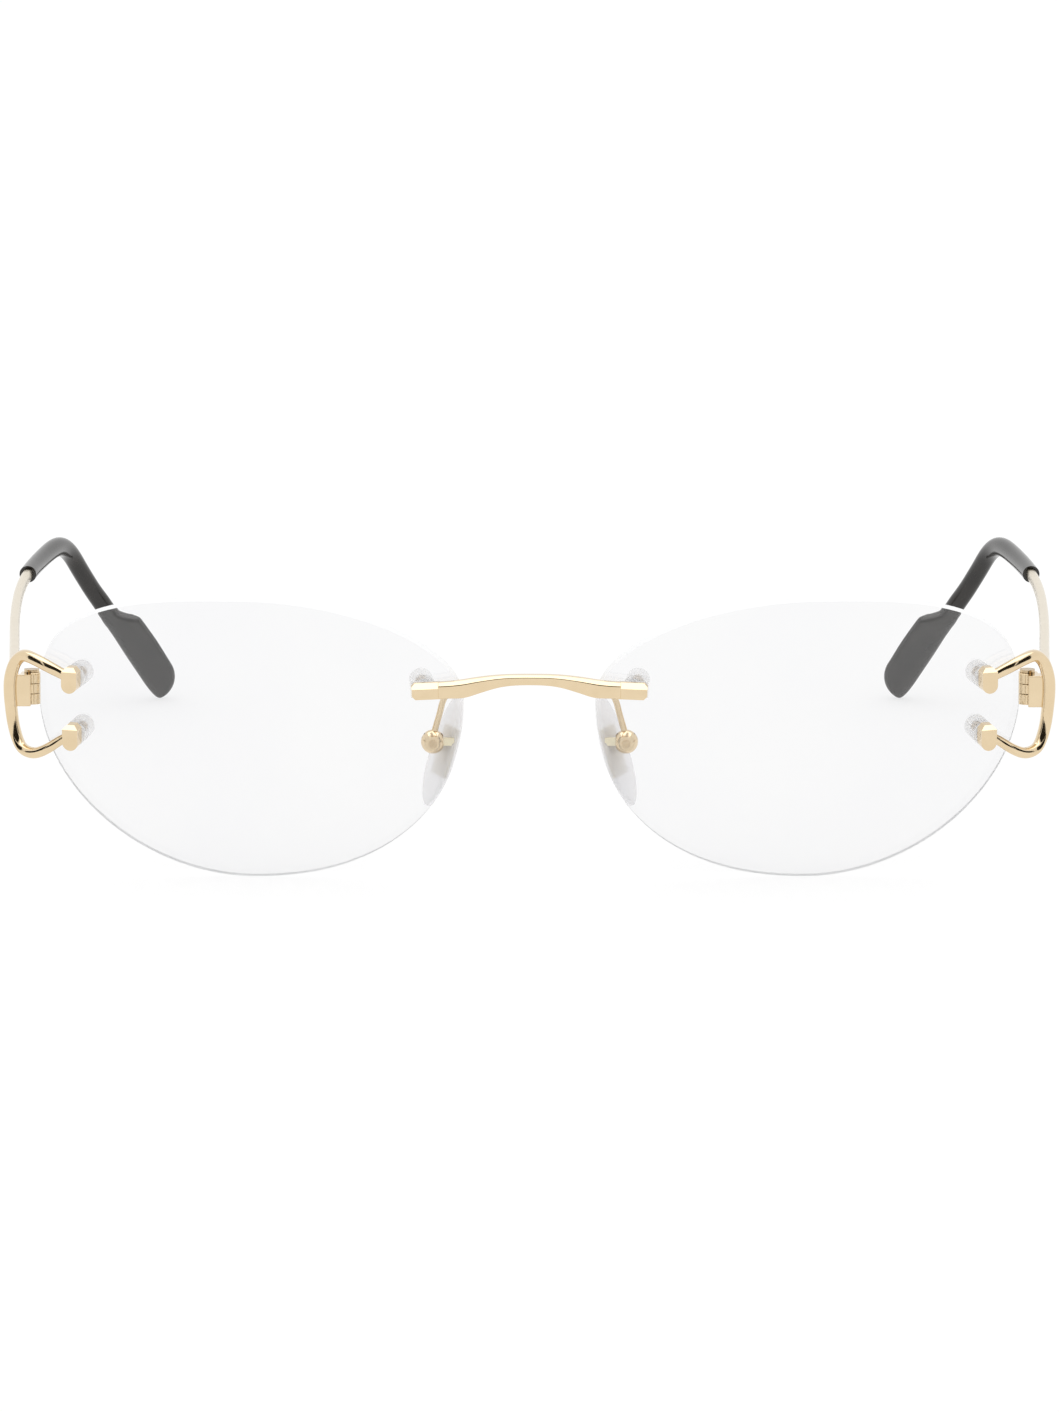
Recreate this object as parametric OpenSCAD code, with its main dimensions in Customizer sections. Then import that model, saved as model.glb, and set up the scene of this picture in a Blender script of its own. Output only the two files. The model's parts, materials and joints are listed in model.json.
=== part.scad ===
// Rimless eyeglasses: two drilled lenses held by posts, a bridge, two-armed end pieces
// and folding wire temples. They face -Y and stand on the lens edges and temple tips at z = 0.
// +X is the wearer's left. Millimetres.

/* [Lenses] */
// Width of one lens
lens_width = 56.1; // [55.6:0.1:56.3]
// Height of one lens
lens_height = 37.9; // [37.6:0.1:38.2]
// Gap between the two lenses
lens_gap = 17.8; // [17.6:0.1:18.2]
// Thickness of a lens
lens_thickness = 2; // [1.8:0.1:2.2]
// Radius of the front surface of a lens
base_radius = 125; // [120:1:130]
// Lean of the lens tops towards the front, degrees
tilt = 6; // [5.5:0.1:6.5]
// Turn of the outer lens edges towards the back, degrees
wrap = 4; // [3.8:0.1:4.2]

/* [Posts and sleeves] */
// Radius of the posts that pass through the lenses
post_radius = 0.75; // [0.6:0.05:0.8]
// Radius of the holes in the lenses
hole_radius = 1.05; // [1:0.05:1.1]
// Radius of the sleeves behind the lenses
sleeve_radius = 1.55; // [1.4:0.05:1.6]
// Length of the sleeves behind the outer lens edge
end_sleeve = 3; // [2.6:0.1:3.4]
// Length of the sleeves behind the bridge
bridge_sleeve = 4.6; // [4:0.1:5]
// Thickness of the washers in front of the lenses
washer = 0.3; // [0.2:0.05:0.4]
// Width of the post heads
head_width = 2.1; // [2:0.1:2.4]
// Height of the post heads
head_height = 3.4; // [3.2:0.1:3.6]
// Depth of the post heads
head_depth = 1.9; // [1.7:0.1:2.1]
// Chamfer round the top of the post heads
head_chamfer = 0.55; // [0.4:0.05:0.7]

/* [Hinges] */
// Radius of the hinge knuckles
knuckle_radius = 1.4; // [1.3:0.05:1.45]
// Height of the middle knuckle
knuckle_height = 1.3; // [1.2:0.05:1.4]
// Height of the whole hinge barrel
barrel_height = 4.2; // [4:0.1:4.4]
// Radius of the hinge screws
hinge_screw_radius = 0.7; // [0.6:0.05:0.75]
// Lean of the right hinge axis, which lets that temple fold over the left one, degrees
fold_lean = 3; // [2.8:0.1:3.4]

/* [Temples] */
// Width of the temple wire
wire_width = 1.4; // [1.2:0.05:1.5]
// Height of the temple wire
wire_height = 1.7; // [1.5:0.05:1.8]
// Width of the tip just above its paddle
neck_width = 2.8; // [2.6:0.1:3]
// Depth of the tip along its paddle
tip_depth = 2.8; // [2.6:0.1:3]
// Width of the paddle
paddle_width = 5.3; // [4.8:0.1:5.6]
// Length over which the tip widens into the paddle
shoulder_length = 3.6; // [3:0.1:4.5]
// Length of the paddle's rounded end
end_length = 4.1; // [3.5:0.1:4.5]

/* [Nose pads] */
// Length of a nose pad
pad_length = 15.2; // [14.5:0.1:15.5]
// Width of a nose pad, front to back
pad_width = 7.6; // [7.2:0.1:7.8]
// Thickness of a nose pad
pad_thickness = 2; // [1.8:0.1:2.1]
// Radius of the ball that holds a nose pad
box_radius = 1.6; // [1.5:0.05:1.7]
// Radius of the pad screws
pad_screw_radius = 0.45; // [0.4:0.05:0.5]
// Radius of the pad arm wire
arm_radius = 0.43; // [0.4:0.01:0.5]

/* [Hidden] */

left = 1;
right = -1;
// Gap between pieces that are seated on each other, and the clearance of a turning fit
seat_gap = 0.02;
running_gap = 0.05;

// Where the front stands along Y, and how its parts are laid out behind it
front_y = -61.5;
lens_y = 0.5;
lens_x = lens_gap / 2 + lens_width / 2;
// The lens's highest and widest points lie off its centre by this much: outwards, upwards
crest = [0.4, 5];
// How square each quarter of the outline is: upper outer, upper inner, lower inner, lower outer
corner = [2.85, 1.88, 2.25, 1.87];
outline_steps = 120;
bottom_sag = base_radius - sqrt(pow(base_radius, 2) - pow(lens_height / 2, 2));
lens_z = lens_height / 2 * cos(tilt) - bottom_sag * sin(tilt);

// Holes from the lens centre: outwards, upwards
nasal_hole = [-23.15, 7.05];
end_holes = [[23.35, 7.95], [23.35, 0.25]];
head_front = -washer - 2 * seat_gap - head_depth;
dome_radius = 1.6 * sleeve_radius;

// Bridge route: x, y, z, depth, height, over one half from the block to the middle
bridge_half = [
    [12, -0.5, 26, 1.4, 2.1], [10.6, -0.5, 26.05, 1.4, 2.15], [8.7, -0.5, 26.2, 1.4, 2.3],
    [6.5, -0.9, 26.8, 1.4, 1.95], [3.5, -1.6, 27.5, 1.4, 1.45]
];
bridge_middle = [0, -1.9, 27.7, 1.4, 1.3];
// Bar section over its half depth and half height, with the upper front edge bevelled
bar_shape = [[1, -1], [1, 1], [-1, 1], [-1, -0.55], [-0.45, -1]];
block_size = [3.85, 1.4, 2.1];
block_bevel = 0.7;
block_corner = 0.45;

// End piece route from the upper head round to the lower one: x, y, z, depth, thickness
end_route = [
    [60.4, 2.5, 27, 1.5, 1.4], [61.9, 2.8, 27.7, 1.6, 1.5], [63.3, 3.1, 28.4, 1.7, 1.6],
    [65.2, 4.2, 29.2, 1.8, 1.6], [66.8, 5.9, 29.4, 1.9, 1.6], [68, 7.1, 28.3, 2, 1.7],
    [68.7, 7.5, 26.2, 2, 1.75], [68.8, 7.6, 24.1, 2, 1.75], [68.65, 7.5, 22, 2, 1.7],
    [68.4, 7.4, 20, 2, 1.65], [67.9, 7, 18.1, 1.9, 1.6], [67.1, 6.1, 16.8, 1.8, 1.55],
    [65.5, 4.6, 16.5, 1.7, 1.5], [63.7, 3.7, 17.3, 1.6, 1.4], [62, 3.6, 18.4, 1.5, 1.3],
    [60.5, 3.2, 19.2, 1.4, 1.2]
];

// Temple route from the hinge to the paddle: x, y, z, and the tip's width and depth there
temple_route = [
    [68.7, 9.5, 24.1, 2.4, 2.4], [69.1, 20, 24.1, 2.4, 2.4], [69.7, 32, 24.1, 2.4, 2.4],
    [70.4, 44, 24.1, 2.4, 2.4], [71.1, 56, 24.2, 2.4, 2.4], [71.6, 68, 24.3, 2.4, 2.4],
    [71.8, 80, 24.4, 2.4, 2.4], [71.4, 92, 24.5, 2.5, 2.5], [70, 103, 24.8, 2.6, 2.7],
    [68.3, 112, 24.9, 2.7, 2.9], [66.9, 116.5, 23.3, 2.7, 2.9], [65.4, 118.7, 20.2, 2.7, 2.8],
    [63.8, 119.9, 17.2, 2.7, tip_depth], [62.4, 120.6, 15, neck_width, tip_depth]
];
// The paddle runs straight from here to the tip's end, along this fall
paddle_start = [61.6, 121, 13.6];
paddle_fall = [-7.8, 3.9, -13.3];
paddle_length = norm(paddle_fall);
shoulder_rings = 6;
end_rings = 9;
sleeve_start = 7;
core_end = 12;
curve_steps = 3;

// Hinge pivot and, measured from it, the block, leaf plate and screw
pivot = [66.1, 10.8, 24.1];
barrel = barrel_height / 2;
middle = knuckle_height / 2;
bore_radius = hinge_screw_radius + running_gap;
neck_y = 1.55;
wire_side = 2.1;
leaf_plate = [0.5, 5, 2.4];
hinge_head = [1, 0.4];
screw_slot = 0.25;

// Pad arm route from the bridge round the lens edge to the pad's ball
arm_route = [
    [7.9, 0, 26.1], [8.1, 2.2, 26], [8.9, 4.3, 25.7], [10.6, 5.3, 24.9],
    [11.5, 5.4, 23.6], [11.9, 5.4, 22.1], [12.3, 5.4, 20.7], [12.7, 5.4, 19.3]
];
ball = [12.85, 5.4, 18.1];
ball_flat = 1.35;
slot_width = 0.9;
slot_depth = 1.15;
tab_radius = 1;
tab_thickness = 0.7;
stem = [2.8, 1];
pad_centre = [11.5, 8.2, 16.3];
pad_lean = 17.5;
pad_splay = 20;
insert_plate = [0.6, 4.4, 6.6];
insert_shift = [0, -0.75, 0.1];
pad_rings = 13;
pad_reach = 82;

$fn = 48;

// ---- curves and swept solids ----

function unit(v) = v / norm(v);

function place(p) = [p[0], p[1], p[2]];

// Cosine or sine pulled towards a square section when power is below 1
function bulge(c, power) = sign(c) * pow(abs(c), power);

// Round or nearly square section with half sizes of 1
function oval(sides, power) = [
    for (i = [0 : sides - 1])
        [bulge(cos(360 * i / sides), power), bulge(sin(360 * i / sides), power)]
];

function curve_point(a, b, c, d, f) =
    0.5 * (2 * b + f * (c - a) + f * f * (2 * a - 5 * b + 4 * c - d) + f * f * f * (3 * b - a - 3 * c + d));

// A smooth curve through every row of p
function smooth(p) = [
    for (i = [0 : len(p) - 2], k = [0 : curve_steps - 1])
        curve_point(p[max(i - 1, 0)], p[i], p[i + 1], p[min(i + 2, len(p) - 1)], k / curve_steps),
    p[len(p) - 1]
];

function tangent(line, i) = unit(place(line[min(i + 1, len(line) - 1)]) - place(line[max(i - 1, 0)]));

// One ring round a point of a route: width lies along `across`, height at right angles to it
function ring(centre, along, across, width, height, shape) =
    let (u = unit(cross(across, along)), v = cross(along, u))
    [for (s = shape) centre + v * s[0] * width / 2 + u * s[1] * height / 2];

// Rings along a smooth line whose rows end with a width and a height
function rings_along(line, across, shape) = [
    for (i = [0 : len(line) - 1])
        ring(place(line[i]), tangent(line, i), across, line[i][3], line[i][4], shape)
];

// Closed solid through rings that all have the same number of points
module loft(rings) {
    n = len(rings[0]);
    last = len(rings) - 1;
    polyhedron(
        points = [for (r = rings, p = r) p],
        faces = concat(
            [[for (i = [n - 1 : -1 : 0]) i]],
            [
                for (j = [0 : last - 1], i = [0 : n - 1])
                    [j * n + i, j * n + (i + 1) % n, (j + 1) * n + (i + 1) % n, (j + 1) * n + i]
            ],
            [[for (i = [0 : n - 1]) last * n + i]]
        ),
        convexity = 6
    );
}

// ---- frames of reference ----

module on_side(side) {
    mirror([side == right ? 1 : 0, 0, 0])
        translate([0, front_y, 0])
            children();
}

module lens_frame() {
    translate([lens_x, lens_y, lens_z])
        rotate([tilt, 0, wrap])
            children();
}

// Puts children on the lens's front surface, with +Y pointing back along the surface's normal
module on_lens(hole) {
    pitch = -asin(hole[1] / base_radius);
    turn = asin(hole[0] / (base_radius * cos(pitch)));
    translate([0, base_radius, 0])
        rotate([pitch, 0, turn])
            translate([0, -base_radius, 0])
                children();
}

module hinge_frame(side) {
    on_side(side)
        translate(pivot)
            rotate([side == right ? -fold_lean : 0, 0, 0])
                children();
}

module pad_frame() {
    translate(pad_centre)
        rotate([0, -pad_lean, -pad_splay])
            children();
}

// Rod along +Y from one depth to another
module rod(radius, from, to) {
    translate([0, from, 0])
        rotate([-90, 0, 0])
            cylinder(r = radius, h = to - from);
}

// ---- lenses ----

function lens_edge(angle) =
    let (
        outer = cos(angle) >= 0,
        upper = sin(angle) >= 0,
        across = lens_width / 2 + (outer ? -crest[0] : crest[0]),
        up = lens_height / 2 + (upper ? -crest[1] : crest[1]),
        square = upper ? (outer ? corner[0] : corner[1]) : (outer ? corner[3] : corner[2])
    )
    [crest[0] + across * bulge(cos(angle), 2 / square), crest[1] + up * bulge(sin(angle), 2 / square)];

module lens_blank() {
    intersection() {
        rotate([90, 0, 0])
            linear_extrude(height = lens_height, center = true)
                polygon([for (i = [0 : outline_steps - 1]) lens_edge(360 * i / outline_steps)]);
        translate([0, base_radius, 0])
            difference() {
                sphere(r = base_radius, $fn = 240);
                sphere(r = base_radius - lens_thickness, $fn = 240);
            }
    }
}

module lens(side) {
    color([0.95, 0.96, 0.97, 0.35])
        on_side(side)
            lens_frame()
                difference() {
                    lens_blank();
                    for (hole = concat([nasal_hole], end_holes))
                        on_lens(hole)
                            rod(hole_radius, -1, lens_thickness + 1);
                }
}

// ---- posts, washers and sleeves ----

module post(sleeve_length) {
    rod(post_radius, head_front + 1, lens_thickness + sleeve_length - 0.8);
}

module washer_ring() {
    difference() {
        rod(sleeve_radius, -washer - seat_gap, -seat_gap);
        rod(post_radius + seat_gap, -1, 1);
    }
}

// Bushing in the lens hole, with a round-ended cap behind the lens
module sleeve_plug(length) {
    cap_start = lens_thickness + seat_gap;
    cap_end = lens_thickness + length;
    difference() {
        union() {
            rod(hole_radius - seat_gap, 0, cap_start + 0.5);
            rod(sleeve_radius, cap_start, cap_end - sleeve_radius / 2);
            intersection() {
                rod(sleeve_radius, cap_end - sleeve_radius, cap_end);
                translate([0, cap_end - dome_radius, 0])
                    sphere(r = dome_radius);
            }
        }
        rod(post_radius + seat_gap, -1, cap_end - 0.75);
    }
}

module end_washers(side) {
    color([0.93, 0.93, 0.94, 0.6])
        on_side(side)
            lens_frame()
                for (hole = end_holes)
                    on_lens(hole)
                        washer_ring();
}

module end_sleeves(side) {
    color([0.93, 0.93, 0.94, 0.6])
        on_side(side)
            lens_frame()
                for (hole = end_holes)
                    on_lens(hole)
                        sleeve_plug(end_sleeve);
}

module bridge_washer(side) {
    color([0.93, 0.93, 0.94, 0.6])
        on_side(side)
            lens_frame()
                on_lens(nasal_hole)
                    difference() {
                        translate([-block_size[0] / 2, -washer - seat_gap, -block_size[2] / 2])
                            cube([block_size[0], washer, block_size[2]]);
                        rod(post_radius + seat_gap, -1, 1);
                    }
}

module bridge_sleeve_cap(side) {
    color([0.93, 0.93, 0.94, 0.6])
        on_side(side)
            lens_frame()
                on_lens(nasal_hole)
                    sleeve_plug(bridge_sleeve);
}

// ---- bridge ----

module bridge() {
    other_half = [for (i = [len(bridge_half) - 1 : -1 : 0]) bridge_half[i]];
    route = concat(
        [for (p = bridge_half) [-p[0], p[1], p[2], p[3], p[4]]], [bridge_middle], other_half
    );
    color([0.87, 0.78, 0.6])
        translate([0, front_y, 0])
            loft(rings_along(smooth(route), [0, 1, 0], bar_shape));
}

// Block in front of the lens, with its upper front edge bevelled and its outer corners cut
module block_body() {
    back = -washer - 2 * seat_gap;
    front = back - block_size[1];
    long = block_size[0] / 2;
    half = block_size[2] / 2;
    intersection() {
        translate([-long, 0, 0])
            rotate([90, 0, 90])
                linear_extrude(height = 2 * long)
                    polygon([
                        [back, -half], [back, half], [front + block_bevel, half],
                        [front, half - block_bevel], [front, -half]
                    ]);
        rotate([90, 0, 0])
            linear_extrude(height = -front)
                polygon([
                    [-long, -half], [long - block_corner, -half], [long, block_corner - half],
                    [long, half - block_corner], [long - block_corner, half], [-long, half]
                ]);
    }
}

// The block and the post behind it
module bridge_block(side) {
    color([0.87, 0.78, 0.6])
        on_side(side)
            lens_frame()
                on_lens(nasal_hole)
                    union() {
                        block_body();
                        post(bridge_sleeve);
                    }
}

// ---- end pieces ----

// Head in front of the lens: flat on top, round below
module post_head() {
    drop = head_height / 2 - head_width / 2;
    cut = sqrt(2) * head_chamfer;
    difference() {
        translate([0, head_front + head_depth, 0])
            rotate([90, 0, 0])
                linear_extrude(height = head_depth)
                    union() {
                        translate([0, -drop])
                            circle(d = head_width);
                        translate([-head_width / 2, -drop])
                            square([head_width, head_height / 2 + drop]);
                    }
        translate([0, head_front, head_height / 2])
            rotate([45, 0, 0])
                cube([2 * head_width, cut, cut], center = true);
        for (corner_x = [-head_width / 2, head_width / 2])
            translate([corner_x, head_front, head_height / 2])
                rotate([0, 45, 0])
                    cube([cut, 3 * head_depth, cut], center = true);
    }
}

module end_piece(side) {
    color([0.87, 0.78, 0.6])
        on_side(side)
            loft(rings_along(smooth(end_route), [0, 1, 0], oval(16, 0.8)));
}

module end_posts(side) {
    color([0.87, 0.78, 0.6])
        on_side(side)
            lens_frame()
                for (hole = end_holes)
                    on_lens(hole)
                        union() {
                            post_head();
                            post(end_sleeve);
                        }
}

// ---- nose pads ----

module pad_arm(side) {
    line = smooth([for (p = arm_route) concat(p, [2 * arm_radius, 2 * arm_radius])]);
    color([0.87, 0.78, 0.6])
        on_side(side)
            loft(rings_along(line, [1, 0, 0], oval(12, 1)));
}

module pad_box(side) {
    color([0.87, 0.78, 0.6])
        on_side(side)
            translate(ball)
                difference() {
                    rotate([0, 0, 45])
                        sphere(r = box_radius);
                    translate([-ball_flat - box_radius, -box_radius, -box_radius])
                        cube([box_radius, 2 * box_radius, 2 * box_radius]);
                    translate([slot_depth - 2 * box_radius, -slot_width / 2, -slot_depth])
                        cube([2 * box_radius, slot_width, 2 * slot_depth]);
                    rod(pad_screw_radius + seat_gap, -2 * box_radius, 2 * box_radius);
                }
}

module pad_screw(side) {
    color([0.8, 0.7, 0.52])
        on_side(side)
            translate(ball)
                union() {
                    rod(pad_screw_radius, -box_radius, box_radius - 0.1);
                    rod(pad_screw_radius + 0.12, -box_radius - 0.2, -box_radius);
                }
}

// Eye round the pad screw, stem and plate, grown by `grow` for the pad's own cavity
module insert_shape(grow) {
    translate(ball)
        translate([-stem[0] - grow, -tab_thickness / 2 - grow, -stem[1] / 2 - grow])
            cube([stem[0] + grow, tab_thickness + 2 * grow, stem[1] + 2 * grow]);
    pad_frame()
        translate(insert_shift)
            cube([for (s = insert_plate) s + 2 * grow], center = true);
}

module pad_insert(side) {
    color([0.85, 0.75, 0.5])
        on_side(side)
            difference() {
                union() {
                    insert_shape(0);
                    translate(ball)
                        rod(tab_radius, -tab_thickness / 2, tab_thickness / 2);
                }
                translate(ball)
                    rod(pad_screw_radius + running_gap, -1, 1);
            }
}

// One ring of the pad at an angle above its middle
function pad_ring(angle) =
    let (
        shrink = cos(angle),
        wide = pad_width / 2 * shrink * (1 - 0.15 * sin(angle)),
        thick = pad_thickness / 2 * pow(shrink, 0.5)
    )
    [
        for (i = [0 : 19])
            [thick * bulge(cos(18 * i), 0.8), -wide * bulge(sin(18 * i), 0.9), pad_length / 2 * sin(angle)]
    ];

module nose_pad(side) {
    step = 2 * pad_reach / (pad_rings - 1);
    color([0.9, 0.9, 0.92, 0.7])
        on_side(side)
            difference() {
                pad_frame()
                    loft([for (i = [0 : pad_rings - 1]) pad_ring(-pad_reach + step * i)]);
                insert_shape(seat_gap);
            }
}

// ---- hinges ----

module knuckle(from, to) {
    translate([0, 0, from])
        cylinder(r = knuckle_radius, h = to - from);
}

module screw_bore() {
    translate([0, 0, -2 * barrel])
        cylinder(r = bore_radius, h = 4 * barrel);
}

module hinge_block(side) {
    gap = middle + running_gap;
    color([0.87, 0.78, 0.6])
        hinge_frame(side)
            difference() {
                union() {
                    knuckle(-barrel, -gap);
                    knuckle(gap, barrel);
                    for (low = [-barrel, gap])
                        translate([0, -neck_y - 0.2, low])
                            cube([knuckle_radius, neck_y + 0.2, barrel - gap]);
                    translate([0, -neck_y - 1.4, -barrel])
                        cube([wire_side + 0.4, 1.4, 2 * barrel]);
                }
                screw_bore();
            }
}

module hinge_leaf(side) {
    color([0.87, 0.78, 0.6])
        hinge_frame(side)
            difference() {
                union() {
                    knuckle(-middle, middle);
                    translate([0, -0.9, -middle])
                        cube([wire_side, 1.8, 2 * middle]);
                    translate([wire_side - leaf_plate[0], -1.1, -leaf_plate[2] / 2])
                        cube(leaf_plate);
                }
                screw_bore();
            }
}

module hinge_screw(side) {
    color([0.8, 0.7, 0.52])
        hinge_frame(side)
            difference() {
                union() {
                    translate([0, 0, -barrel])
                        cylinder(r = hinge_screw_radius, h = 2 * barrel + seat_gap);
                    translate([0, 0, barrel + seat_gap])
                        cylinder(r = hinge_head[0], h = hinge_head[1]);
                }
                translate([-hinge_head[0], -screw_slot / 2, barrel + hinge_head[1] / 2])
                    cube([2 * hinge_head[0], screw_slot, hinge_head[1]]);
            }
}

// ---- temples ----

temple_line = smooth(temple_route);

// Rings of the wire over part of the temple line, grown by `grow`
function wire_rings(from, to, grow) = [
    for (i = [from : to])
        ring(
            place(temple_line[i]), tangent(temple_line, i), [1, 0, 0],
            wire_width + 2 * grow, wire_height + 2 * grow, oval(12, 0.7)
        )
];

module temple_wire(side) {
    color([0.87, 0.8, 0.66])
        on_side(side)
            loft(wire_rings(0, core_end * curve_steps, 0));
}

// Eased step from 0 to 1
function ease(f) = f * f * (3 - 2 * f);

// Paddle section at a distance along the fall, and how far it reaches to its outer and inner side
function paddle_ring(reach, outer, inner, depth) =
    let (
        along = unit(paddle_fall),
        back = unit(cross([1, 0, 0], along)),
        outwards = cross(along, back),
        centre = paddle_start + reach * along + outwards * (outer - inner) / 2
    )
    ring(centre, along, [1, 0, 0], outer + inner, depth, oval(12, 0.95));

// Shoulder on the inner side, straight stretch and end, rounder on the inner side
paddle = concat(
    [
        for (i = [0 : shoulder_rings])
            let (f = i / shoulder_rings)
            paddle_ring(
                f * shoulder_length, neck_width / 2,
                neck_width / 2 + (paddle_width - neck_width) * ease(f), tip_depth
            )
    ],
    [
        for (i = [0 : end_rings - 1])
            let (angle = 90 * i / end_rings)
            paddle_ring(
                paddle_length - end_length * (1 - sin(angle)), neck_width / 2 * sqrt(cos(angle)),
                (paddle_width - neck_width / 2) * cos(angle), tip_depth * sqrt(cos(angle))
            )
    ]
);

// Hollow sleeve over the wire's end, with a paddle at its lower end
module temple_tip(side) {
    first = sleeve_start * curve_steps;
    cavity = wire_rings(first, core_end * curve_steps + 1, running_gap);
    whole = rings_along(temple_line, [1, 0, 0], oval(12, 0.95));
    outside = [for (i = [first : len(whole) - 1]) whole[i]];
    color([0.12, 0.12, 0.12])
        on_side(side)
            loft(concat([for (i = [len(cavity) - 1 : -1 : 0]) cavity[i]], outside, paddle));
}

bridge();
bridge_block(left);  // bridge_block_left
bridge_block(right);  // bridge_block_right
lens(left);  // lens_left
lens(right);  // lens_right
end_piece(left);  // end_piece_left
end_piece(right);  // end_piece_right
end_posts(left);  // end_posts_left
end_posts(right);  // end_posts_right
end_washers(left);  // end_washers_left
end_washers(right);  // end_washers_right
end_sleeves(left);  // end_sleeves_left
end_sleeves(right);  // end_sleeves_right
bridge_washer(left);  // bridge_washer_left
bridge_washer(right);  // bridge_washer_right
bridge_sleeve_cap(left);  // bridge_sleeve_left
bridge_sleeve_cap(right);  // bridge_sleeve_right
pad_arm(left);  // pad_arm_left
pad_arm(right);  // pad_arm_right
pad_box(left);  // pad_box_left
pad_box(right);  // pad_box_right
pad_screw(left);  // pad_screw_left
pad_screw(right);  // pad_screw_right
pad_insert(left);  // pad_insert_left
pad_insert(right);  // pad_insert_right
nose_pad(left);  // nose_pad_left
nose_pad(right);  // nose_pad_right
hinge_block(left);  // hinge_block_left
hinge_block(right);  // hinge_block_right
hinge_screw(left);  // hinge_screw_left
hinge_screw(right);  // hinge_screw_right
hinge_leaf(left);  // hinge_leaf_left
hinge_leaf(right);  // hinge_leaf_right
temple_wire(left);  // temple_wire_left
temple_wire(right);  // temple_wire_right
temple_tip(left);  // temple_tip_left
temple_tip(right);  // temple_tip_right
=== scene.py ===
"""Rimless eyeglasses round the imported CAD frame: smooth metal and plastic, clear lenses, white studio.

Metres. The glasses face -Y, Z is up, +X is the wearer's left.
"""

import json
import math

import bmesh
import bpy
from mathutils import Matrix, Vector

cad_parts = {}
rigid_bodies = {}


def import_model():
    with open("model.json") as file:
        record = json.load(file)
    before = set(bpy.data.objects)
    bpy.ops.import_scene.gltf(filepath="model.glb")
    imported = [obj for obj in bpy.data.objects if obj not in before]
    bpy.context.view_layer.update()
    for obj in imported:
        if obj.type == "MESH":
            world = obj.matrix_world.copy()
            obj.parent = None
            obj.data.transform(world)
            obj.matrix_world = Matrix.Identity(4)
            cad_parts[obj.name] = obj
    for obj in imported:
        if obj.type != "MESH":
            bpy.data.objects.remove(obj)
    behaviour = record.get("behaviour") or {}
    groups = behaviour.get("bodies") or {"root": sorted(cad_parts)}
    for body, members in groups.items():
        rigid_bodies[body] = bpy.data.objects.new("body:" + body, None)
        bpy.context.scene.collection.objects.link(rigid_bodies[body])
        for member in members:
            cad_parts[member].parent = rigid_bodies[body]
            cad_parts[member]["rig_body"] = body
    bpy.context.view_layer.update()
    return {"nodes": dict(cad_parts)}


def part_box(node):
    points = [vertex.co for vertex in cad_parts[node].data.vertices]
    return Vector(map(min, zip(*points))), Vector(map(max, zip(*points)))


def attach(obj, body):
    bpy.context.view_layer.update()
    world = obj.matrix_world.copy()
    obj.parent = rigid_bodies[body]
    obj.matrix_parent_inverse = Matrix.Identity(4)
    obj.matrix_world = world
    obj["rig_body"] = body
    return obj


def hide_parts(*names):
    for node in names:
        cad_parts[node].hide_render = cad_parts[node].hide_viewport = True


MM = 0.001
SIDES = ("left", "right")

# Vertices closer than this are welded into one
WELD = 1e-6
# The most that two triangles may bend, and their quad be skewed, for them to be joined into a quad
QUAD_BEND = math.radians(40)
QUAD_SKEW = math.radians(60)
# An edge sharper than this is rounded, and on a machined part it isn't smooth-shaded either
EDGE_ANGLE = math.radians(30)
# A lens facet is clear if the cosine between it and the lens's front is above this, and ground if not
CLEAR_COSINE = 0.6

# ---- camera and studio ----

CAMERA_DISTANCE = 1.1
CAMERA_PITCH = math.radians(11.3)
CAMERA_LENS = 213.4
CAMERA_AIM_HEIGHT = 24 * MM
CAMERA_NEAR = 0.01
CAMERA_FAR = 50

WHITE = (1, 1, 1, 1)
ROOM_LIGHT = 1.0
FLOOR_TONE = (0.3, 0.3, 0.3, 1)
FLOOR_GLOW = 0.72
FLOOR_HALF = 9.0

LAMP_PLACE = (0, -0.1, 1.25)
LAMP_SIZE = (1.4, 0.9)
LAMP_POWER = 0.8

OVERHEAD_TONE = (0.8, 0.8, 0.8, 1)
OVERHEAD_GLOW = 1.35
DARK_TONE = (0.02, 0.018, 0.015, 1)
# Each card's centre and its two half sides. The side card is the left one, and the right one mirrors it
OVERHEAD_CARD = ((0, 0, 1.2), (0.9, 0, 0), (0, 0.75, 0))
FRONT_CARD = ((0, -1.5, 0.9), (1.3, 0, 0), (0, -0.12, 0.82))
SIDE_CARD = ((0.42, -0.25, 0.16), (0, 0.16, 0), (0, 0, 0.15))


def srgb(red, green, blue):
    """An 8-bit display colour as linear values with alpha."""
    linear = [((c / 255 + 0.055) / 1.055) ** 2.4 for c in (red, green, blue)]
    return (*linear, 1)


# ---- materials ----


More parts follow.
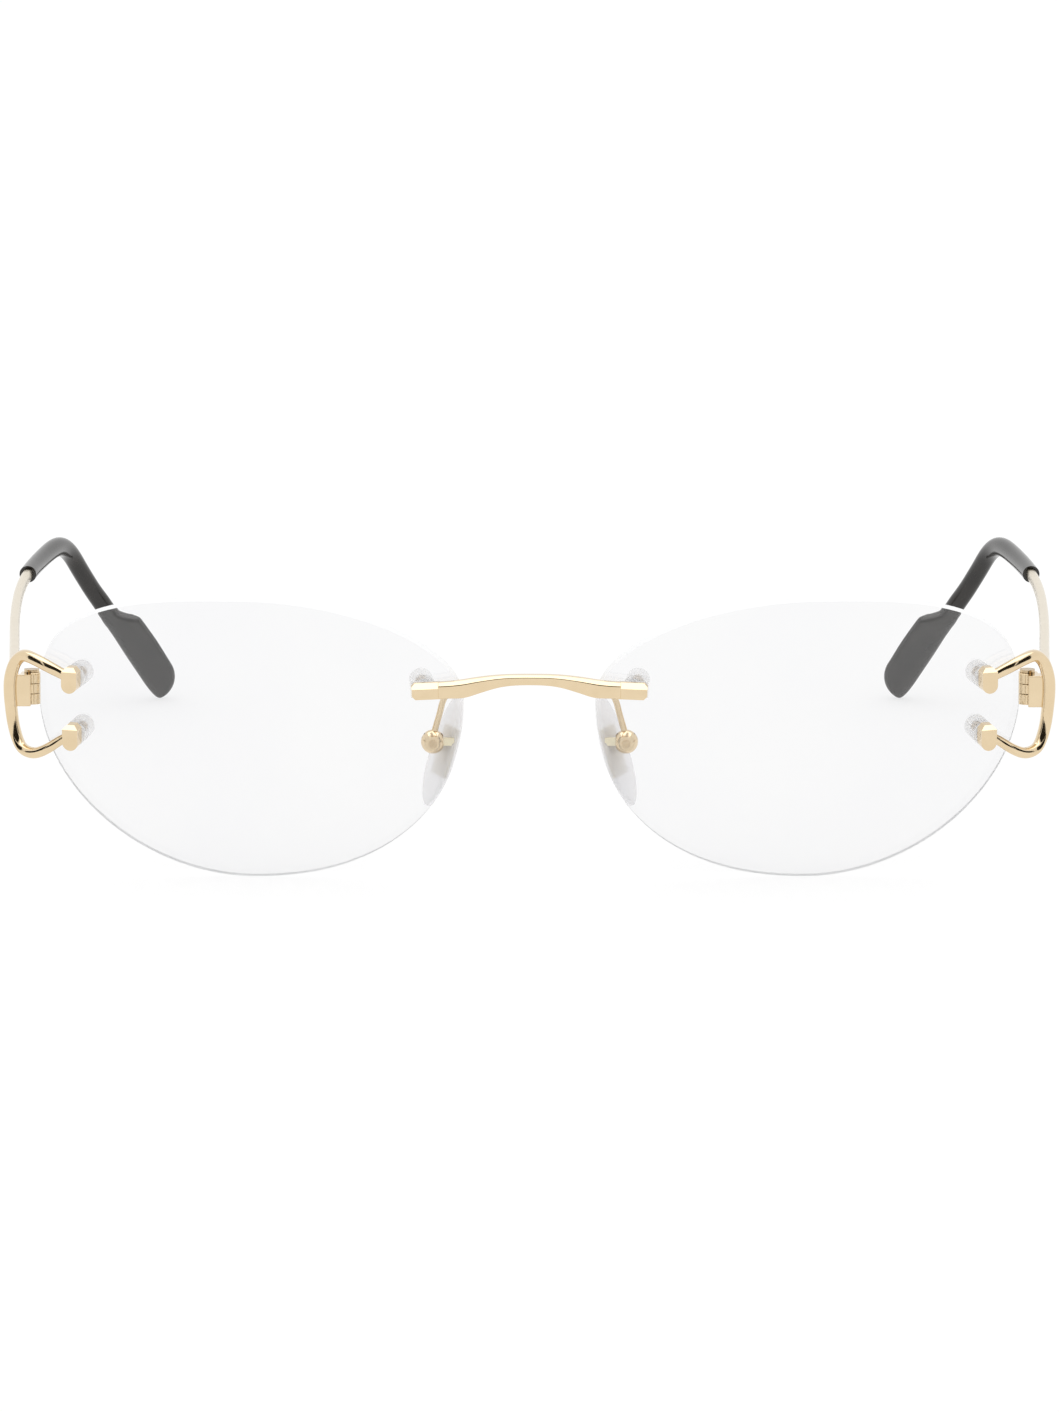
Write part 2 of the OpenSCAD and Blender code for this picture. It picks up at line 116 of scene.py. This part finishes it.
class Finish:
    """A material with one Principled shader, and helpers that wire nodes into it."""

    def __init__(self, name, **sockets):
        self.material = bpy.data.materials.new(name)
        self.material.use_nodes = True
        self.tree = self.material.node_tree
        self.shader = self.tree.nodes["Principled BSDF"]
        for socket, value in sockets.items():
            self.shader.inputs[socket.replace("_", " ")].default_value = value
        self.place = self.tree.nodes.new("ShaderNodeTexCoord").outputs["Object"]

    def node(self, kind, inputs=None, **settings):
        """A new node with some inputs set or linked, and its own settings."""
        made = self.tree.nodes.new(kind)
        for name, value in settings.items():
            setattr(made, name, value)
        for socket, value in (inputs or {}).items():
            if isinstance(value, bpy.types.NodeSocket):
                self.tree.links.new(value, made.inputs[socket])
            else:
                made.inputs[socket].default_value = value
        return made

    def link(self, output, socket):
        """Drives one of the shader's sockets."""
        self.tree.links.new(output, self.shader.inputs[socket])

    def noise(self, size, detail=3.0, stretch=(1, 1, 1)):
        """Noise whose features are about `size` metres across, drawn out along each axis by `stretch`."""
        scaled = self.node("ShaderNodeMapping", {"Vector": self.place, "Scale": [1 / s for s in stretch]})
        vector = scaled.outputs["Vector"]
        inputs = {"Vector": vector, "Scale": 1 / size, "Detail": detail}
        return self.node("ShaderNodeTexNoise", inputs).outputs["Fac"]

    def spread(self, value, low, high, first=0.3, last=0.7):
        """Takes a value from first..last, which is noise's own range, to low..high."""
        ends = {"From Min": first, "From Max": last, "To Min": low, "To Max": high}
        made = self.node("ShaderNodeMapRange", {"Value": value, **ends})
        return made.outputs["Result"]

    def tones(self, value, first, second):
        """A colour between two, by a noise value."""
        made = self.node("ShaderNodeMix", {"Factor": self.spread(value, 0, 1)}, data_type="RGBA")
        made.inputs["A"].default_value = first
        made.inputs["B"].default_value = second
        return made.outputs["Result"]

    def bump(self, height, depth):
        """Bump of that depth in metres."""
        made = self.node("ShaderNodeBump", {"Height": height, "Distance": depth, "Strength": 1.0})
        self.link(made.outputs["Normal"], "Normal")


def gold(name, tone, deep, smooth, rough, grain):
    """Plated metal: two close tones, fine polishing marks in its gloss and a trace of waviness."""
    finish = Finish(name, Metallic=1.0)
    finish.link(finish.tones(finish.noise(2.5 * MM), tone, deep), "Base Color")
    marks = finish.noise(0.5 * MM, detail=5, stretch=(4, 1, 1))
    finish.link(finish.spread(marks, smooth, rough), "Roughness")
    finish.bump(finish.noise(0.35 * MM, detail=4), grain)
    return finish.material


def clear(finish, tint):
    """Lets lamp light through a clear material without bending it, so that it casts no dark shadow."""
    output = finish.tree.nodes["Material Output"]
    path = finish.node("ShaderNodeLightPath")
    through = finish.node("ShaderNodeBsdfTransparent", {"Color": tint})
    mix = finish.node(
        "ShaderNodeMixShader",
        {0: path.outputs["Is Shadow Ray"], 1: finish.shader.outputs["BSDF"], 2: through.outputs["BSDF"]},
    )
    finish.tree.links.new(mix.outputs["Shader"], output.inputs["Surface"])
    return finish.material


def lens_face():
    """Clear resin lens with a trace of polishing haze."""
    finish = Finish("lens_resin", Transmission_Weight=1.0, IOR=1.5)
    finish.link(finish.tones(finish.noise(18 * MM), srgb(247, 247, 247), srgb(245, 245, 246)), "Base Color")
    finish.link(finish.spread(finish.noise(4 * MM), 0.0, 0.004), "Roughness")
    return clear(finish, srgb(247, 247, 247))


def lens_rim():
    """The lens's ground edge: nearly white, with faint lines round it from the grinding wheel."""
    finish = Finish("lens_ground_edge", IOR=1.5)
    lines = finish.noise(0.16 * MM, detail=4, stretch=(9, 1, 9))
    finish.link(finish.tones(lines, srgb(252, 252, 252), srgb(247, 248, 249)), "Base Color")
    finish.link(finish.spread(lines, 0.35, 0.5), "Roughness")
    finish.bump(lines, 0.003 * MM)
    return clear(finish, srgb(245, 245, 245))


def milky_plastic(name, tone, deep, middle, edge, rough, grain):
    """Soft cloudy plastic: it hides least where it is seen square on, and more towards its outline."""
    finish = Finish(name, IOR=1.45)
    cloud = finish.noise(1.6 * MM, detail=4)
    facing = finish.node("ShaderNodeLayerWeight", {"Blend": 0.5}).outputs["Facing"]
    finish.link(finish.tones(cloud, tone, deep), "Base Color")
    finish.link(finish.spread(facing, middle, edge, first=0, last=1), "Alpha")
    finish.link(finish.spread(finish.noise(0.6 * MM), rough * 0.75, rough * 1.25), "Roughness")
    finish.bump(finish.noise(0.5 * MM), grain)
    return finish.material


def black_plastic():
    """Glossy black plastic with a faint moulded skin."""
    finish = Finish("black_plastic", IOR=1.5)
    finish.link(finish.tones(finish.noise(3 * MM), srgb(44, 41, 38), srgb(34, 32, 30)), "Base Color")
    finish.link(finish.spread(finish.noise(1.2 * MM, detail=3), 0.12, 0.18), "Roughness")
    finish.bump(finish.noise(2.5 * MM, detail=1), 0.002 * MM)
    return finish.material


# ---- meshes made from the CAD nodes ----


def welded(node):
    """The CAD node's mesh as a bmesh with its seams closed and its triangles joined into quads."""
    shape = bmesh.new()
    shape.from_mesh(frame["nodes"][node].data)
    bmesh.ops.remove_doubles(shape, verts=shape.verts, dist=WELD)
    bmesh.ops.join_triangles(
        shape,
        faces=shape.faces,
        cmp_seam=False,
        cmp_sharp=False,
        cmp_uvs=False,
        cmp_vcols=False,
        cmp_materials=False,
        angle_face_threshold=QUAD_BEND,
        angle_shape_threshold=QUAD_SKEW,
    )
    return shape


def shown(piece, node):
    """Puts a piece in the scene in place of the node, on the same body."""
    bpy.context.scene.collection.objects.link(piece)
    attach(piece, frame["nodes"][node]["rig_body"])
    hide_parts(node)
    return piece


def as_piece(shape, node, name, material):
    """Turns a bmesh into a smooth-shaded piece that stands for the node and rides on its body."""
    mesh = bpy.data.meshes.new(name)
    shape.to_mesh(mesh)
    shape.free()
    for attribute in ("custom_normal", "sharp_face", "sharp_edge"):
        if attribute in mesh.attributes:
            mesh.attributes.remove(mesh.attributes[attribute])
    mesh.materials.append(material)
    return shown(bpy.data.objects.new(name, mesh), node)


def modifier(piece, kind, **settings):
    """Adds a modifier with those settings."""
    made = piece.modifiers.new(kind.title(), kind)
    for name, value in settings.items():
        setattr(made, name, value)


def round_edges(piece, width):
    """Small rounded edges wherever two faces meet at more than the edge angle."""
    modifier(
        piece,
        "BEVEL",
        width=width,
        segments=3,
        limit_method="ANGLE",
        angle_limit=EDGE_ANGLE,
        harden_normals=True,
    )


def soft_skin(node, name, material, crease_angle=50):
    """A swept part as a subdivision surface. Edges sharper than the crease angle, in degrees, stay sharp."""
    shape = welded(node)
    crease = shape.edges.layers.float.new("crease_edge")
    for edge in shape.edges:
        if len(edge.link_faces) == 2 and edge.calc_face_angle() > math.radians(crease_angle):
            edge[crease] = 1
    piece = as_piece(shape, node, name, material)
    piece.data.set_sharp_from_angle(angle=math.radians(crease_angle))
    modifier(piece, "SUBSURF", levels=2, render_levels=2)
    return piece


def cut_metal(node, name, material, edge):
    """A machined part with small rounded edges."""
    piece = as_piece(welded(node), node, name, material)
    piece.data.set_sharp_from_angle(angle=EDGE_ANGLE)
    round_edges(piece, edge)


def lens(side, face_material, rim_material):
    """A lens with the CAD surface's own smooth normals: clear front and back, ground edge and hole walls."""
    node = f"lens_{side}"
    name = f"drilled_lens_{side}"
    mesh = frame["nodes"][node].data.copy()
    mesh.name = name
    mesh.materials.clear()
    mesh.materials.append(face_material)
    mesh.materials.append(rim_material)
    facing = max(mesh.polygons, key=lambda polygon: polygon.area).normal.copy()
    for polygon in mesh.polygons:
        polygon.material_index = 0 if abs(polygon.normal.dot(facing)) > CLEAR_COSINE else 1
    shown(bpy.data.objects.new(name, mesh), node)


# ---- studio ----


def studio_material(name, tone, strength):
    """A floor or card that is lit like paper and may glow a little."""
    finish = Finish(name, Roughness=1.0, Specular_IOR_Level=0.0)
    finish.shader.inputs["Base Color"].default_value = tone
    finish.shader.inputs["Emission Color"].default_value = WHITE
    finish.shader.inputs["Emission Strength"].default_value = strength
    return finish.material


def panel(name, centre, across, up, material):
    """A flat stage rectangle given by its centre and its two half sides."""
    signs = ((-1, -1), (1, -1), (1, 1), (-1, 1))
    corners = [Vector(centre) + Vector(across) * a + Vector(up) * u for a, u in signs]
    mesh = bpy.data.meshes.new(name)
    mesh.from_pydata(corners, [], [(0, 1, 2, 3)])
    mesh.materials.append(material)
    made = bpy.data.objects.new(name, mesh)
    bpy.context.scene.collection.objects.link(made)
    return made


def card(name, centre, across, up, material):
    """A studio card that only shows in reflections."""
    made = panel(name, centre, across, up, material)
    made.visible_camera = False
    made.visible_diffuse = False
    made.visible_shadow = False
    made.visible_transmission = False


def studio():
    """A white room: a pale floor, a soft light and a bright card overhead, dark cards in front and beside."""
    world = bpy.data.worlds.new("white_room")
    world.use_nodes = True
    sky = world.node_tree.nodes["Background"].inputs
    sky["Color"].default_value = WHITE
    sky["Strength"].default_value = ROOM_LIGHT
    bpy.context.scene.world = world
    bpy.context.scene.view_settings.view_transform = "Standard"

    acrylic = studio_material("floor_acrylic", FLOOR_TONE, FLOOR_GLOW)
    panel("floor", (0, 0, 0), (FLOOR_HALF, 0, 0), (0, FLOOR_HALF, 0), acrylic)

    lamp = bpy.data.lights.new("overhead_soft_light", "AREA")
    lamp.shape = "RECTANGLE"
    lamp.size, lamp.size_y = LAMP_SIZE
    lamp.energy = LAMP_POWER
    overhead = bpy.data.objects.new("overhead_soft_light", lamp)
    overhead.location = LAMP_PLACE
    overhead.visible_glossy = False
    bpy.context.scene.collection.objects.link(overhead)

    card("overhead_card", *OVERHEAD_CARD, studio_material("overhead_card", OVERHEAD_TONE, OVERHEAD_GLOW))
    dark = studio_material("dark_card", DARK_TONE, 0)
    card("front_card", *FRONT_CARD, dark)
    (out, front, up), across, rise = SIDE_CARD
    for side, sign in zip(SIDES, (1, -1)):
        card(f"side_card_{side}", (sign * out, front, up), across, rise, dark)


def camera():
    """The main view: from the front, a little above, with a long lens."""
    data = bpy.data.cameras.new("front_camera")
    data.lens = CAMERA_LENS
    data.clip_start = CAMERA_NEAR
    data.clip_end = CAMERA_FAR
    made = bpy.data.objects.new("front_camera", data)
    bpy.context.scene.collection.objects.link(made)
    bridge_low, bridge_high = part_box("bridge")
    aim = Vector((0, (bridge_low[1] + bridge_high[1]) / 2, CAMERA_AIM_HEIGHT))
    back = Vector((0, -math.cos(CAMERA_PITCH), math.sin(CAMERA_PITCH)))
    made.location = aim + back * CAMERA_DISTANCE
    made.rotation_euler = (-back).to_track_quat("-Z", "Y").to_euler()
    bpy.context.scene.camera = made


# ---- build ----

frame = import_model()

polished = gold(
    "polished_gold",
    tone=(0.8, 0.645, 0.43, 1),
    deep=(0.76, 0.605, 0.395, 1),
    smooth=0.06,
    rough=0.12,
    grain=0.0006 * MM,
)
pale_wire = gold(
    "brushed_gold_wire",
    tone=(0.78, 0.7, 0.56, 1),
    deep=(0.75, 0.67, 0.53, 1),
    smooth=0.2,
    rough=0.25,
    grain=0.0002 * MM,
)
screw_gold = gold(
    "screw_gold",
    tone=(0.7, 0.55, 0.35, 1),
    deep=(0.6, 0.46, 0.29, 1),
    smooth=0.16,
    rough=0.26,
    grain=0.001 * MM,
)
insert_gold = gold(
    "insert_gold",
    tone=(0.96, 0.88, 0.66, 1),
    deep=(0.93, 0.84, 0.6, 1),
    smooth=0.35,
    rough=0.45,
    grain=0.0004 * MM,
)
resin = lens_face()
ground = lens_rim()
sleeve_plastic = milky_plastic(
    "sleeve_plastic",
    tone=srgb(254, 254, 254),
    deep=srgb(250, 250, 251),
    middle=0.3,
    edge=0.62,
    rough=0.12,
    grain=0.0006 * MM,
)
pad_plastic = milky_plastic(
    "pad_plastic",
    tone=srgb(254, 253, 254),
    deep=srgb(250, 249, 251),
    middle=0.44,
    edge=0.62,
    rough=0.2,
    grain=0.0015 * MM,
)
black = black_plastic()

bridge = soft_skin("bridge", "bridge_bar", polished, crease_angle=28)
round_edges(bridge, 0.14 * MM)

# Machined parts: the CAD node, the piece's name and the width of its rounded edges
MACHINED = (
    ("bridge_block", "bridge_end_block", 0.12 * MM),
    ("end_posts", "end_post_pair", 0.18 * MM),
    ("pad_box", "pad_ball", 0.06 * MM),
    ("hinge_block", "hinge_knuckles", 0.1 * MM),
    ("hinge_leaf", "hinge_tongue", 0.1 * MM),
)
# CAD nodes that keep their own mesh, and their material
KEPT = {
    "end_washers": sleeve_plastic,
    "end_sleeves": sleeve_plastic,
    "bridge_washer": sleeve_plastic,
    "bridge_sleeve": sleeve_plastic,
    "pad_screw": screw_gold,
    "hinge_screw": screw_gold,
    "pad_insert": insert_gold,
}

for side in SIDES:
    lens(side, resin, ground)
    soft_skin(f"end_piece_{side}", f"end_stirrup_{side}", polished)
    soft_skin(f"pad_arm_{side}", f"pad_arm_wire_{side}", polished)
    soft_skin(f"temple_wire_{side}", f"temple_rod_{side}", pale_wire)
    soft_skin(f"temple_tip_{side}", f"temple_sleeve_{side}", black)
    pad = soft_skin(f"nose_pad_{side}", f"soft_nose_pad_{side}", pad_plastic)
    for node, name, edge in MACHINED:
        cut_metal(f"{node}_{side}", f"{name}_{side}", polished, edge)
    for node, material in KEPT.items():
        frame["nodes"][f"{node}_{side}"].data.materials[0] = material

studio()
camera()
